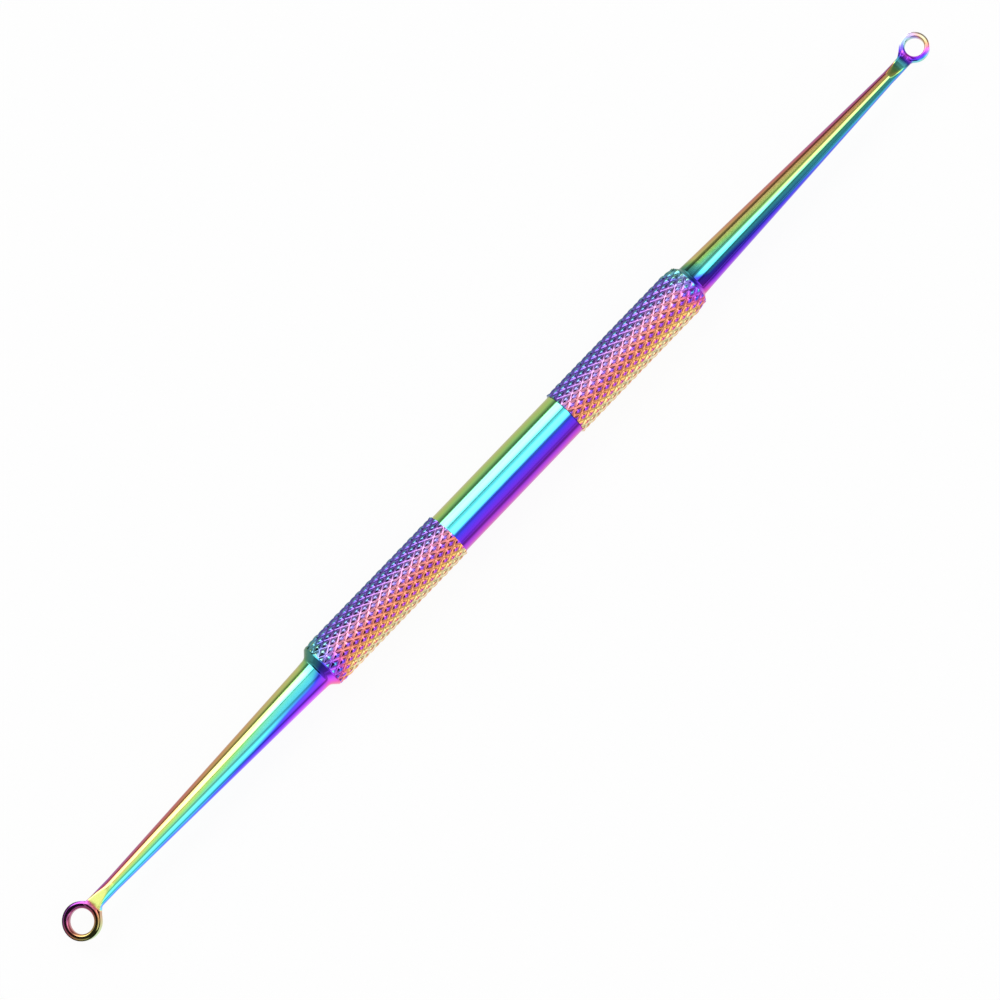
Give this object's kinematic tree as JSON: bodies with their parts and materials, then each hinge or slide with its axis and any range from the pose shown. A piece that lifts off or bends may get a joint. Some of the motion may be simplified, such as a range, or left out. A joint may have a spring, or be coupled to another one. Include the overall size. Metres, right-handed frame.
{
  "type": "blackhead extractor",
  "caption": "Double-ended loop extractor for blackheads: a plain barrel between knurled grips, with tapered shanks to a large and a small ring loop.",
  "frame": {"origin": "the middle of the plain barrel, on the tool's axis", "axes": "+X along the axis to the small loop, +Z on the side from which the loops are seen face on"},
  "size_m": [0.1207, 0.005, 0.005],
  "materials": {
    "barrel_finish": "polished stainless steel under a rainbow interference film, mint to blue to violet round the bar",
    "grip_finish": "polished diamond knurl under the same film, blue to magenta to gold round the bar",
    "shank_finish": "fine-turned and polished under the same film, violet to cyan to yellow round the taper",
    "loop_finish": "polished under the same film, in violet, maroon, cyan and yellow"
  },
  "bodies": {
    "root": {"handle_barrel": "barrel_finish", "large_end_grip": "grip_finish", "small_end_grip": "grip_finish", "large_end_shank": "shank_finish", "small_end_shank": "shank_finish", "large_loop": "loop_finish", "small_loop": "loop_finish"}
  },
  "joints": []
}
